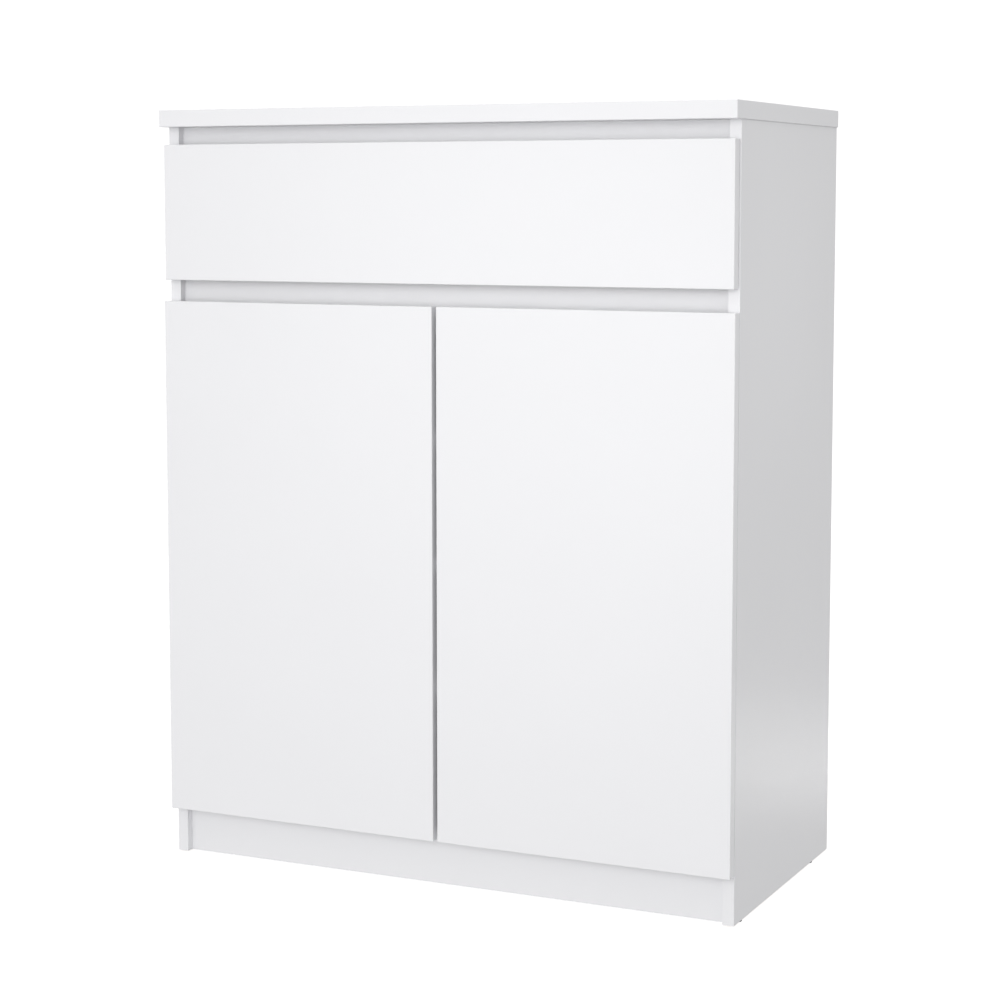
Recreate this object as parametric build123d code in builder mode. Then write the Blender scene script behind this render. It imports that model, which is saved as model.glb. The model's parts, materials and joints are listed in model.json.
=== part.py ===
from build123d import *
import math
import os

# White sideboard: one full-width drawer over a two-door cupboard, no handles, finger slots above the fronts.
# Millimetres. +Z up, front towards -Y, +X to the right seen from the front.
# Origin: middle of the outer box at floor level.

os.makedirs("parts", exist_ok=True)

# ---------------------------------------------------------------- driving dimensions
TOP_W, TOP_D, TOP_T = 800.0, 399.0, 22.0     # top panel
GLIDE_H = 2.0                                # black glides lift the sides off the floor
HEIGHT = 998.0                               # floor to top surface
SIDE_X = 398.0                               # outer face of each side
SIDE_T = 15.0                                # carcass board
FRONT_SET = 4.8                              # fronts stand back from the top's front edge
FRONT_T = 15.0                               # drawer front and doors
FRONT_GAP = 1.2                              # fronts to the side panels' front edges
RAIL_SET = 10.5                              # rails and plinth behind the side panels' front edges
BOARD_R = 0.8                                # softened board edges
EDGE_R = 0.5

DRAWER_W, DRAWER_Z0, DRAWER_Z1 = 792.0, 776.0, 953.0   # drawer front
DOOR_Z0, DOOR_Z1, DOOR_GAP = 64.0, 748.0, 6.0          # doors and the gap between them
BASE_Z0 = 62.0                                         # underside of the base panel
MID_Z0 = 736.0                                         # underside of the middle panel
RAIL_MID_Z1 = 788.0                                    # top edge of the middle grip rail
RAIL_UP_Z0 = 930.0                                     # lower edge of the upper grip rail
SHELF_Z = (252.5, 412.5, 572.5)                        # undersides of the three shelves
BACK_T = 3.0                                           # hardboard back
BACK_Y = 186.0                                         # front face of the back
BACK_GROOVE = 5.0

# ---------------------------------------------------------------- derived
Y_TOP_F, Y_BACK = -TOP_D / 2, TOP_D / 2
Y_FRONT = Y_TOP_F + FRONT_SET
Y_DOOR_B = Y_FRONT + FRONT_T
Y_SIDE_F = Y_DOOR_B + FRONT_GAP
Y_RAIL_F = Y_SIDE_F + RAIL_SET
Y_RAIL_B = Y_RAIL_F + SIDE_T
Z_TOP0 = HEIGHT - TOP_T
X_IN = SIDE_X - SIDE_T
INNER_END_Y = BACK_Y - 1.7                    # rear edge of the horizontal boards
CAM_Y = (-120.0, 150.0)                       # front and rear cam fittings of the horizontal boards
DOWEL_Y = 15.0
CAM_R, CAM_BORE_R, CAM_DEEP = 7.4, 7.5, 12.0
CAM_IN = 34.0                                 # cam centre to the joint face
BOLT_R, BOLT_HOLE_R = 3.0, 3.6
THREAD_R, THREAD_HOLE_R, THREAD_L = 2.4, 2.5, 10.5
DOWEL_R, DOWEL_HOLE_R, DOWEL_L = 3.95, 4.0, 30.0
PIN_Y = (-128.0, 142.0)                       # shelf pin rows
SYS_R = 2.5
PIN_DROP = 3.55


def board(x0, x1, y0, y1, z0, z1, mode=Mode.ADD):
    with BuildSketch(Plane.XY.offset(z0)) as profile:
        with Locations(((x0 + x1) / 2, (y0 + y1) / 2)):
            Rectangle(x1 - x0, y1 - y0)
    extrude(profile.sketch, amount=z1 - z0, mode=mode)


def rod_x(x0, x1, pts, r, mode=Mode.ADD):
    with BuildSketch(Plane(origin=(x0, 0, 0), x_dir=(0, 1, 0), z_dir=(1, 0, 0))) as profile:
        with Locations(*pts):
            Circle(r)
    extrude(profile.sketch, amount=x1 - x0, mode=mode)


def rod_y(y0, y1, pts, r, mode=Mode.ADD):
    with BuildSketch(Plane(origin=(0, y0, 0), x_dir=(1, 0, 0), z_dir=(0, -1, 0))) as profile:
        with Locations(*pts):
            Circle(r)
    extrude(profile.sketch, amount=y0 - y1, mode=mode)


def rod_z(z0, z1, pts, r, mode=Mode.ADD):
    with BuildSketch(Plane.XY.offset(z0)) as profile:
        with Locations(*pts):
            Circle(r)
    extrude(profile.sketch, amount=z1 - z0, mode=mode)


def soften(part, r):
    fillet(part.edges(), radius=r)


def keep(block, name):
    block.part.label = name
    export_step(block.part, "parts/" + name + ".step")


CUT = Mode.SUBTRACT

# ---------------------------------------------------------------- fitting positions
# horizontal boards: cams from below, bolts in the sides along X
flat_boards = {"base": BASE_Z0, "middle": MID_Z0}
# upright boards (two rails and the plinth): cams from behind, bolts in the sides along X
RAIL_MID_CAM_Z, RAIL_MID_DOWEL_Z = 770.0, 748.0
RAIL_UP_CAM_Z, RAIL_UP_DOWEL_Z = 960.0, 940.0
PLINTH_CAM_Z, PLINTH_DOWEL_Z = 42.0, 20.0
upright = ((RAIL_MID_CAM_Z, RAIL_MID_DOWEL_Z), (RAIL_UP_CAM_Z, RAIL_UP_DOWEL_Z), (PLINTH_CAM_Z, PLINTH_DOWEL_Z))
Y_RAIL_MID = (Y_RAIL_F + Y_RAIL_B) / 2
TOP_CAM_Y = (-100.0, 130.0)                   # top panel: cams in the sides, bolts along Z
TOP_DOWEL_Y = 15.0
X_SIDE_MID = SIDE_X - SIDE_T / 2
GLIDE_Y = (Y_SIDE_F + 30.0, Y_SIDE_F + 312.0)
HINGE_Z = (159.0, 653.0)                      # hinge heights
PLATE_SCREW_DZ = 16.0
RUN_SCREW_Y = (-100.0, 20.0, 140.0)           # cabinet runner screws
RUN_Z = 810.0

# ================================================================ carcass boards
with BuildPart() as top_panel:
    board(-TOP_W / 2, TOP_W / 2, Y_TOP_F, Y_BACK, Z_TOP0, HEIGHT)
    soften(top_panel.part, BOARD_R)
    board(-X_IN - BACK_GROOVE, X_IN + BACK_GROOVE, BACK_Y - 0.1, BACK_Y + BACK_T + 0.1, Z_TOP0, Z_TOP0 + BACK_GROOVE, CUT)
    rod_z(Z_TOP0, Z_TOP0 + THREAD_L + 0.5, [(s * X_SIDE_MID, y) for s in (-1, 1) for y in TOP_CAM_Y], THREAD_HOLE_R, CUT)
    rod_z(Z_TOP0, Z_TOP0 + 11.0, [(s * X_SIDE_MID, TOP_DOWEL_Y) for s in (-1, 1)], DOWEL_HOLE_R, CUT)
    rod_z(Z_TOP0, Z_TOP0 + 12.0, [(s * 250.0, 168.0) for s in (-1, 1)], 1.5, CUT)
keep(top_panel, "top_panel")


def side_panel(s):
    x_out, x_in = s * SIDE_X, s * X_IN
    lo, hi = min(x_out, x_in), max(x_out, x_in)
    board(lo, hi, Y_SIDE_F, Y_BACK, GLIDE_H, Z_TOP0)


def side_holes(s):
    x_in = s * X_IN
    into = s                                                     # into the board, away from the cabinet
    deep = x_in + into * (THREAD_L + 0.5)
    # bolts of the horizontal boards
    rod_x(x_in, deep, [(y, z + SIDE_T / 2) for z in flat_boards.values() for y in CAM_Y], THREAD_HOLE_R, CUT)
    rod_x(x_in, x_in + into * 10.5, [(DOWEL_Y, z + SIDE_T / 2) for z in flat_boards.values()], DOWEL_HOLE_R, CUT)
    # bolts and dowels of the rails and the plinth
    rod_x(x_in, deep, [(Y_RAIL_MID, c) for c, d in upright], THREAD_HOLE_R, CUT)
    rod_x(x_in, x_in + into * 10.5, [(Y_RAIL_MID, d) for c, d in upright], DOWEL_HOLE_R, CUT)
    # cams and dowels that hold the top
    rod_x(x_in, x_in + into * CAM_DEEP, [(y, Z_TOP0 - CAM_IN) for y in TOP_CAM_Y], CAM_BORE_R, CUT)
    rod_z(Z_TOP0 - CAM_IN, Z_TOP0, [(s * X_SIDE_MID, y) for y in TOP_CAM_Y], BOLT_HOLE_R, CUT)
    rod_z(Z_TOP0 - 21.0, Z_TOP0, [(s * X_SIDE_MID, TOP_DOWEL_Y)], DOWEL_HOLE_R, CUT)
    # shelf pin rows, three heights for each shelf
    rod_x(x_in, x_in + into * 8.5, [(y, z - PIN_DROP + k * 32.0) for y in PIN_Y for z in SHELF_Z for k in (-1, 0, 1)], SYS_R, CUT)
    # hinge plates, runners, glides, back groove
    rod_x(x_in, x_in + into * 11.0, [(Y_DOOR_B + 38.2, hz + k * PLATE_SCREW_DZ) for hz in HINGE_Z for k in (-1, 1)], 2.5, CUT)
    rod_x(x_in, x_in + into * 11.0, [(y, RUN_Z) for y in RUN_SCREW_Y], 1.5, CUT)
    rod_z(GLIDE_H, GLIDE_H + 13.0, [(s * X_SIDE_MID, y) for y in GLIDE_Y], 1.05, CUT)
    gx0, gx1 = sorted((x_in, x_in + into * BACK_GROOVE))
    board(gx0, gx1, BACK_Y - 0.1, BACK_Y + BACK_T + 0.1, GLIDE_H, Z_TOP0, CUT)


with BuildPart() as left_side_panel:
    side_panel(-1)
    soften(left_side_panel.part, EDGE_R)
    side_holes(-1)
keep(left_side_panel, "left_side_panel")

with BuildPart() as right_side_panel:
    side_panel(1)
    soften(right_side_panel.part, EDGE_R)
    side_holes(1)
keep(right_side_panel, "right_side_panel")


def flat_board_fittings(z0):
    zc = z0 + SIDE_T / 2
    for s in (-1, 1):
        rod_x(s * (X_IN - CAM_IN), s * X_IN, [(y, zc) for y in CAM_Y], BOLT_HOLE_R, CUT)
        rod_x(s * (X_IN - 21.0), s * X_IN, [(DOWEL_Y, zc)], DOWEL_HOLE_R, CUT)
    rod_z(z0, z0 + CAM_DEEP, [(s * (X_IN - CAM_IN), y) for s in (-1, 1) for y in CAM_Y], CAM_BORE_R, CUT)


with BuildPart() as base_panel:
    board(-X_IN, X_IN, Y_SIDE_F, INNER_END_Y, BASE_Z0, BASE_Z0 + SIDE_T)
    fillet(base_panel.edges().filter_by(Axis.X), radius=EDGE_R)
    flat_board_fittings(BASE_Z0)
keep(base_panel, "base_panel")

with BuildPart() as middle_panel:
    board(-X_IN, X_IN, Y_RAIL_B, INNER_END_Y, MID_Z0, MID_Z0 + SIDE_T)
    fillet(middle_panel.edges().filter_by(Axis.X), radius=EDGE_R)
    flat_board_fittings(MID_Z0)
keep(middle_panel, "middle_panel")


def upright_board(z0, z1):
    board(-X_IN, X_IN, Y_RAIL_F, Y_RAIL_B, z0, z1)


def upright_fittings(cam_z, dowel_z):
    for s in (-1, 1):
        rod_x(s * (X_IN - CAM_IN), s * X_IN, [(Y_RAIL_MID, cam_z)], BOLT_HOLE_R, CUT)
        rod_x(s * (X_IN - 21.0), s * X_IN, [(Y_RAIL_MID, dowel_z)], DOWEL_HOLE_R, CUT)
    rod_y(Y_RAIL_B, Y_RAIL_B - CAM_DEEP, [(s * (X_IN - CAM_IN), cam_z) for s in (-1, 1)], CAM_BORE_R, CUT)


with BuildPart() as upper_grip_rail:
    upright_board(RAIL_UP_Z0, Z_TOP0)
    fillet(upper_grip_rail.edges().filter_by(Axis.X), radius=EDGE_R)
    upright_fittings(RAIL_UP_CAM_Z, RAIL_UP_DOWEL_Z)
keep(upper_grip_rail, "upper_grip_rail")

with BuildPart() as middle_grip_rail:
    upright_board(MID_Z0, RAIL_MID_Z1)
    fillet(middle_grip_rail.edges().filter_by(Axis.X), radius=EDGE_R)
    upright_fittings(RAIL_MID_CAM_Z, RAIL_MID_DOWEL_Z)
keep(middle_grip_rail, "middle_grip_rail")

with BuildPart() as plinth_board:
    upright_board(GLIDE_H, BASE_Z0)
    fillet(plinth_board.edges().filter_by(Axis.X), radius=EDGE_R)
    upright_fittings(PLINTH_CAM_Z, PLINTH_DOWEL_Z)
keep(plinth_board, "plinth_board")

# ================================================================ back: two hardboard leaves and a joining strip
BACK_Z0 = BASE_Z0 - 2.0
BRACKET_X, BRACKET_HOLE_Z = 250.0, 958.0


def back_leaf(x0, x1, hole_x):
    board(x0, x1, BACK_Y, BACK_Y + BACK_T, BACK_Z0, Z_TOP0 + BACK_GROOVE - 0.5)
    rod_y(BACK_Y + BACK_T, BACK_Y, [(hole_x, BRACKET_HOLE_Z)], 4.0, CUT)


with BuildPart() as back_left_leaf:
    back_leaf(-X_IN - BACK_GROOVE + 0.5, -1.0, -BRACKET_X)
keep(back_left_leaf, "back_left_leaf")

with BuildPart() as back_right_leaf:
    back_leaf(1.0, X_IN + BACK_GROOVE - 0.5, BRACKET_X)
keep(back_right_leaf, "back_right_leaf")

STRIP_W, STRIP_T = 16.0, 1.1
with BuildPart() as back_joining_strip:
    with BuildSketch(Plane.XY.offset(BACK_Z0)):
        with Locations((0, BACK_Y - STRIP_T / 2), (0, BACK_Y + BACK_T + STRIP_T / 2)):
            Rectangle(STRIP_W, STRIP_T)
        with Locations((0, BACK_Y + BACK_T / 2)):
            Rectangle(1.6, BACK_T)
    extrude(amount=Z_TOP0 - 0.5 - BACK_Z0)
keep(back_joining_strip, "back_joining_strip")

# ================================================================ shelves and their pins
SHELF_X, SHELF_Y0, SHELF_Y1 = X_IN - 0.8, Y_SIDE_F + 0.3, INNER_END_Y - 0.5


def shelf(z0):
    board(-SHELF_X, SHELF_X, SHELF_Y0, SHELF_Y1, z0, z0 + SIDE_T)


with BuildPart() as lower_shelf:
    shelf(SHELF_Z[0])
    soften(lower_shelf.part, EDGE_R)
keep(lower_shelf, "lower_shelf")

with BuildPart() as middle_shelf:
    shelf(SHELF_Z[1])
    soften(middle_shelf.part, EDGE_R)
keep(middle_shelf, "middle_shelf")

with BuildPart() as upper_shelf:
    shelf(SHELF_Z[2])
    soften(upper_shelf.part, EDGE_R)
keep(upper_shelf, "upper_shelf")

with BuildPart() as shelf_pins:
    pin_pts = [(y, z - PIN_DROP) for y in PIN_Y for z in SHELF_Z]
    for s in (-1, 1):
        rod_x(s * (X_IN + 7.5), s * X_IN, pin_pts, 2.45)
        rod_x(s * X_IN, s * (X_IN - 1.4), pin_pts, 3.5)
        rod_x(s * (X_IN - 1.4), s * (X_IN - 9.0), pin_pts, 3.1)
        rod_x(s * (X_IN - 9.0), s * (X_IN - 10.0), pin_pts, 3.5)
keep(shelf_pins, "shelf_pins")

# ================================================================ floor glides
with BuildPart() as floor_glides:
    glide_pts = [(s * X_SIDE_MID, y) for s in (-1, 1) for y in GLIDE_Y]
    rod_z(0, GLIDE_H, glide_pts, 7.0)
    fillet(floor_glides.edges().group_by(Axis.Z)[0], radius=0.4)
    rod_z(GLIDE_H, GLIDE_H + 12.0, glide_pts, 1.0)
keep(floor_glides, "floor_glides")


# ================================================================ knock-down fittings
def bolt_along_x(x_face, s, pts):
    # threaded end in the side (towards s), neck and head towards the cam
    rod_x(x_face + s * THREAD_L, x_face, pts, THREAD_R)
    rod_x(x_face, x_face - s * 2.0, pts, 3.4)
    rod_x(x_face - s * 2.0, x_face - s * 28.0, pts, 2.6)
    rod_x(x_face - s * 28.0, x_face - s * 32.0, pts, 3.3)


with BuildPart() as cam_bolts:
    for s in (-1, 1):
        bolt_along_x(s * X_IN, s, [(y, z + SIDE_T / 2) for z in flat_boards.values() for y in CAM_Y])
        bolt_along_x(s * X_IN, s, [(Y_RAIL_MID, c) for c, d in upright])
    top_bolts = [(s * X_SIDE_MID, y) for s in (-1, 1) for y in TOP_CAM_Y]
    rod_z(Z_TOP0, Z_TOP0 + THREAD_L, top_bolts, THREAD_R)
    rod_z(Z_TOP0 - 2.0, Z_TOP0, top_bolts, 3.4)
    rod_z(Z_TOP0 - 28.0, Z_TOP0 - 2.0, top_bolts, 2.6)
    rod_z(Z_TOP0 - 32.0, Z_TOP0 - 28.0, top_bolts, 3.3)
keep(cam_bolts, "cam_bolts")

CAM_SLOT = 3.7
with BuildPart() as cam_locks:
    for z0 in flat_boards.values():
        flat_pts = [(s * (X_IN - CAM_IN), y) for s in (-1, 1) for y in CAM_Y]
        rod_z(z0, z0 + 11.5, flat_pts, CAM_R)
        with BuildSketch(Plane.XY.offset(z0)):
            with Locations(*flat_pts):
                Rectangle(8.0, 1.6)
                Rectangle(1.6, 8.0)
        extrude(amount=2.2, mode=CUT)
    for cam_z, dowel_z in upright:
        up_pts = [(s * (X_IN - CAM_IN), cam_z) for s in (-1, 1)]
        rod_y(Y_RAIL_B, Y_RAIL_B - 11.5, up_pts, CAM_R)
        with BuildSketch(Plane(origin=(0, Y_RAIL_B, 0), x_dir=(1, 0, 0), z_dir=(0, -1, 0))):
            with Locations(*up_pts):
                Rectangle(8.0, 1.6)
                Rectangle(1.6, 8.0)
        extrude(amount=2.2, mode=CUT)
    for s in (-1, 1):
        top_pts = [(y, Z_TOP0 - CAM_IN) for y in TOP_CAM_Y]
        rod_x(s * X_IN, s * (X_IN + 11.5), top_pts, CAM_R)
        with BuildSketch(Plane(origin=(s * X_IN, 0, 0), x_dir=(0, 1, 0), z_dir=(1, 0, 0))):
            with Locations(*top_pts):
                Rectangle(8.0, 1.6)
                Rectangle(1.6, 8.0)
        extrude(amount=s * 2.2, mode=CUT)
        # pockets for the bolt heads
        rod_x(s * (X_IN - CAM_IN - 1.0), s * (X_IN - CAM_IN + 8.0), [(y, z + SIDE_T / 2) for z in flat_boards.values() for y in CAM_Y], CAM_SLOT, CUT)
        rod_x(s * (X_IN - CAM_IN - 1.0), s * (X_IN - CAM_IN + 8.0), [(Y_RAIL_MID, c) for c, d in upright], CAM_SLOT, CUT)
    rod_z(Z_TOP0 - CAM_IN - 1.0, Z_TOP0 - CAM_IN + 8.0, top_bolts, CAM_SLOT, CUT)
keep(cam_locks, "cam_locks")

with BuildPart() as wood_dowels:
    for s in (-1, 1):
        rod_x(s * (X_IN + 10.0), s * (X_IN - 20.0), [(DOWEL_Y, z + SIDE_T / 2) for z in flat_boards.values()], DOWEL_R)
        rod_x(s * (X_IN + 10.0), s * (X_IN - 20.0), [(Y_RAIL_MID, d) for c, d in upright], DOWEL_R)
    rod_z(Z_TOP0 - 20.0, Z_TOP0 + 10.0, [(s * X_SIDE_MID, TOP_DOWEL_Y) for s in (-1, 1)], DOWEL_R)
keep(wood_dowels, "wood_dowels")

# ================================================================ wall brackets
with BuildPart() as wall_brackets:
    for s in (-1, 1):
        board(s * BRACKET_X - 10, s * BRACKET_X + 10, BACK_Y - 1.5, BACK_Y, 946.0, Z_TOP0)
        board(s * BRACKET_X - 10, s * BRACKET_X + 10, 158.0, BACK_Y - 1.5, Z_TOP0 - 1.5, Z_TOP0)
    rod_y(BACK_Y, BACK_Y - 1.5, [(s * BRACKET_X, BRACKET_HOLE_Z) for s in (-1, 1)], 2.75, CUT)
    rod_z(Z_TOP0 - 1.5, Z_TOP0, [(s * BRACKET_X, 168.0) for s in (-1, 1)], 2.0, CUT)
keep(wall_brackets, "wall_brackets")

with BuildPart() as wall_bracket_screws:
    br_pts = [(s * BRACKET_X, 168.0) for s in (-1, 1)]
    rod_z(Z_TOP0 - 3.6, Z_TOP0 - 1.5, br_pts, 3.5)
    fillet(wall_bracket_screws.edges().group_by(Axis.Z)[0], radius=1.2)
    rod_z(Z_TOP0 - 1.5, Z_TOP0 + 11.0, br_pts, 1.45)
    with BuildSketch(Plane.XY.offset(Z_TOP0 - 3.6)):
        with Locations(*br_pts):
            Rectangle(3.4, 0.8)
            Rectangle(0.8, 3.4)
    extrude(amount=1.2, mode=CUT)
keep(wall_bracket_screws, "wall_bracket_screws")

# ================================================================ drawer
DR_X, DR_T = 370.0, 12.0                      # outer face and thickness of the drawer sides
DR_Z0, DR_Z1 = 796.0, 918.0
DR_Y1 = Y_DOOR_B + 350.0
DR_BOTTOM_Z, DR_BOTTOM_T = 806.0, 3.0
DR_GROOVE = 5.0
DR_BACK_T = 12.0
DR_CAM_Z = (828.0, 892.0)

with BuildPart() as drawer_front:
    board(-DRAWER_W / 2, DRAWER_W / 2, Y_FRONT, Y_DOOR_B, DRAWER_Z0, DRAWER_Z1)
    soften(drawer_front.part, BOARD_R)
    dfx = DR_X - DR_T / 2
    rod_y(Y_DOOR_B, Y_DOOR_B - THREAD_L - 0.5, [(s * dfx, z) for s in (-1, 1) for z in DR_CAM_Z], THREAD_HOLE_R, CUT)
    board(-DR_X + DR_T - 0.1, DR_X - DR_T + 0.1, Y_DOOR_B - DR_GROOVE, Y_DOOR_B, DR_BOTTOM_Z - 0.1, DR_BOTTOM_Z + DR_BOTTOM_T + 0.1, CUT)
keep(drawer_front, "drawer_front")

DR_SCREW_Z = (835.0, 890.0)
RAIL_SCREW_Y = (-130.0, 0.0, 100.0)
RAIL_SCREW_Z = 803.0


def drawer_side(s):
    lo, hi = sorted((s * DR_X, s * (DR_X - DR_T)))
    board(lo, hi, Y_DOOR_B, DR_Y1, DR_Z0, DR_Z1)


def drawer_side_cuts(s):
    # groove for the bottom
    g0, g1 = sorted((s * (DR_X - DR_T), s * (DR_X - DR_T + DR_GROOVE)))
    board(g0, g1, Y_DOOR_B, DR_Y1, DR_BOTTOM_Z - 0.1, DR_BOTTOM_Z + DR_BOTTOM_T + 0.1, CUT)
    # front fixing: bolt hole along Y, cam bore from outside
    rod_y(Y_DOOR_B + 25.0, Y_DOOR_B, [(s * (DR_X - DR_T / 2), z) for z in DR_CAM_Z], BOLT_HOLE_R, CUT)
    rod_x(s * (DR_X - DR_T), s * (DR_X - 1.5), [(Y_DOOR_B + 24.0, z) for z in DR_CAM_Z], 6.1, CUT)
    # back screws and rail screws
    rod_x(s * DR_X, s * (DR_X - DR_T), [(DR_Y1 - 20.0, z) for z in DR_SCREW_Z], 1.9, CUT)
    rod_x(s * DR_X, s * (DR_X - 2.0), [(DR_Y1 - 20.0, z) for z in DR_SCREW_Z], 3.6, CUT)
    rod_x(s * DR_X, s * (DR_X - 10.0), [(y, RAIL_SCREW_Z) for y in RAIL_SCREW_Y], 1.5, CUT)


with BuildPart() as drawer_left_side:
    drawer_side(-1)
    fillet(drawer_left_side.edges().filter_by(Axis.Y), radius=EDGE_R)
    drawer_side_cuts(-1)
keep(drawer_left_side, "drawer_left_side")

with BuildPart() as drawer_right_side:
    drawer_side(1)
    fillet(drawer_right_side.edges().filter_by(Axis.Y), radius=EDGE_R)
    drawer_side_cuts(1)
keep(drawer_right_side, "drawer_right_side")

DR_IN = DR_X - DR_T
with BuildPart() as drawer_back:
    board(-DR_IN, DR_IN, DR_Y1 - 20.0 - DR_BACK_T / 2, DR_Y1 - 20.0 + DR_BACK_T / 2, DR_BOTTOM_Z + DR_BOTTOM_T + 0.1, DR_Z1 - 4.0)
    fillet(drawer_back.edges().filter_by(Axis.X), radius=EDGE_R)
    for s in (-1, 1):
        rod_x(s * DR_IN, s * (DR_IN - 24.0), [(DR_Y1 - 20.0, z) for z in DR_SCREW_Z], 1.55, CUT)
keep(drawer_back, "drawer_back")

with BuildPart() as drawer_bottom:
    board(-DR_IN - DR_GROOVE + 0.4, DR_IN + DR_GROOVE - 0.4, Y_DOOR_B, DR_Y1 - 2.0, DR_BOTTOM_Z, DR_BOTTOM_Z + DR_BOTTOM_T)
    board(-DR_IN, DR_IN, Y_DOOR_B - DR_GROOVE + 0.4, Y_DOOR_B, DR_BOTTOM_Z, DR_BOTTOM_Z + DR_BOTTOM_T)
keep(drawer_bottom, "drawer_bottom")

with BuildPart() as drawer_front_bolts:
    fb = [(s * dfx, z) for s in (-1, 1) for z in DR_CAM_Z]
    rod_y(Y_DOOR_B, Y_DOOR_B - THREAD_L, fb, THREAD_R)
    rod_y(Y_DOOR_B + 2.0, Y_DOOR_B, fb, 3.4)
    rod_y(Y_DOOR_B + 18.0, Y_DOOR_B + 2.0, fb, 2.6)
    rod_y(Y_DOOR_B + 22.0, Y_DOOR_B + 18.0, fb, 3.3)
keep(drawer_front_bolts, "drawer_front_bolts")

with BuildPart() as drawer_front_cams:
    for s in (-1, 1):
        cpts = [(Y_DOOR_B + 24.0, z) for z in DR_CAM_Z]
        rod_x(s * (DR_X - DR_T), s * (DR_X - 2.0), cpts, 6.0)
        with BuildSketch(Plane(origin=(s * (DR_X - DR_T), 0, 0), x_dir=(0, 1, 0), z_dir=(1, 0, 0))):
            with Locations(*cpts):
                Rectangle(7.0, 1.4)
                Rectangle(1.4, 7.0)
        extrude(amount=s * 1.6, mode=CUT)
    rod_y(Y_DOOR_B + 25.0, Y_DOOR_B + 16.0, fb, CAM_SLOT, CUT)
keep(drawer_front_cams, "drawer_front_cams")

with BuildPart() as drawer_back_screws:
    for s in (-1, 1):
        bpts = [(DR_Y1 - 20.0, z) for z in DR_SCREW_Z]
        rod_x(s * DR_X, s * (DR_X - 2.0), bpts, 3.5)
        rod_x(s * (DR_X - 2.0), s * (DR_X - DR_T - 22.0), bpts, 1.5)
        with BuildSketch(Plane(origin=(s * DR_X, 0, 0), x_dir=(0, 1, 0), z_dir=(1, 0, 0))):
            with Locations(*bpts):
                Rectangle(3.6, 0.9)
                Rectangle(0.9, 3.6)
        extrude(amount=-s * 1.2, mode=CUT)
keep(drawer_back_screws, "drawer_back_screws")

with BuildPart() as drawer_bumpers:
    rod_y(Y_DOOR_B + 0.8, Y_DOOR_B, [(s * (SIDE_X - 7.5), z) for s in (-1, 1) for z in (800.0, 930.0)], 4.0)
    fillet(drawer_bumpers.edges().group_by(Axis.Y)[-1], radius=0.3)
keep(drawer_bumpers, "drawer_bumpers")

# ================================================================ roller runners
RAIL_S = 1.2                                  # runner sheet
ROLL_R = 9.2
ROLL_W = 5.0
ROLL_X0 = 373.6                               # inner face of every roller
CAB_ROLL_Y, CAB_ROLL_Z = -138.0, 806.0        # roller at the front of each cabinet rail
DRW_ROLL_Y, DRW_ROLL_Z = 155.0, RUN_Z         # roller at the rear of each drawer rail
CH_Z0, CH_Z1 = 800.0, 820.0                   # channel between the cabinet rail's flanges
LIP_Z0 = 815.5                                # underside of the drawer rail's lip
AXLE_R, AXLE_HOLE_R = 2.5, 2.55


def cabinet_rail(s):
    def bx(xa, xb, y0, y1, z0, z1, mode=Mode.ADD):
        lo, hi = sorted((s * xa, s * xb))
        board(lo, hi, y0, y1, z0, z1, mode)
    bx(X_IN - RAIL_S, X_IN, -150.0, 172.0, CH_Z0 - 6.0, CH_Z1 + RAIL_S)          # web on the side panel
    bx(X_IN - 9.6, X_IN - RAIL_S, -120.0, 172.0, CH_Z0 - RAIL_S, CH_Z0)          # running flange
    bx(X_IN - 9.6, X_IN - RAIL_S, -100.0, 172.0, CH_Z1, CH_Z1 + RAIL_S)          # keeper flange
    bx(X_IN - 9.6, X_IN - RAIL_S, 170.8, 172.0, CH_Z0, CH_Z1)                    # end stop
    rod_x(s * X_IN, s * (X_IN - RAIL_S), [(y, RUN_Z) for y in RUN_SCREW_Y], 1.7, CUT)
    rod_x(s * X_IN, s * (X_IN - RAIL_S), [(CAB_ROLL_Y, CAB_ROLL_Z)], AXLE_R, CUT)


def drawer_rail(s):
    def bx(xa, xb, y0, y1, z0, z1):
        lo, hi = sorted((s * xa, s * xb))
        board(lo, hi, y0, y1, z0, z1)
    bx(DR_X, DR_X + RAIL_S, Y_DOOR_B + 6.0, 166.0, DR_Z0 - RAIL_S, LIP_Z0 + RAIL_S)   # web on the drawer side
    bx(DR_X - DR_T, DR_X, Y_DOOR_B + 6.0, 166.0, DR_Z0 - RAIL_S, DR_Z0)               # flange under the drawer side
    bx(DR_X + RAIL_S, DR_X + 9.6, Y_DOOR_B + 14.0, 138.0, LIP_Z0, LIP_Z0 + RAIL_S)    # lip on the cabinet roller
    rod_x(s * DR_X, s * (DR_X + RAIL_S), [(y, RAIL_SCREW_Z) for y in RAIL_SCREW_Y], 1.7, CUT)
    rod_x(s * DR_X, s * (DR_X + RAIL_S), [(DRW_ROLL_Y, DRW_ROLL_Z)], AXLE_R, CUT)


with BuildPart() as left_cabinet_rail:
    cabinet_rail(-1)
keep(left_cabinet_rail, "left_cabinet_rail")

with BuildPart() as right_cabinet_rail:
    cabinet_rail(1)
keep(right_cabinet_rail, "right_cabinet_rail")

with BuildPart() as left_drawer_rail:
    drawer_rail(-1)
keep(left_drawer_rail, "left_drawer_rail")

with BuildPart() as right_drawer_rail:
    drawer_rail(1)
keep(right_drawer_rail, "right_drawer_rail")


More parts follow.
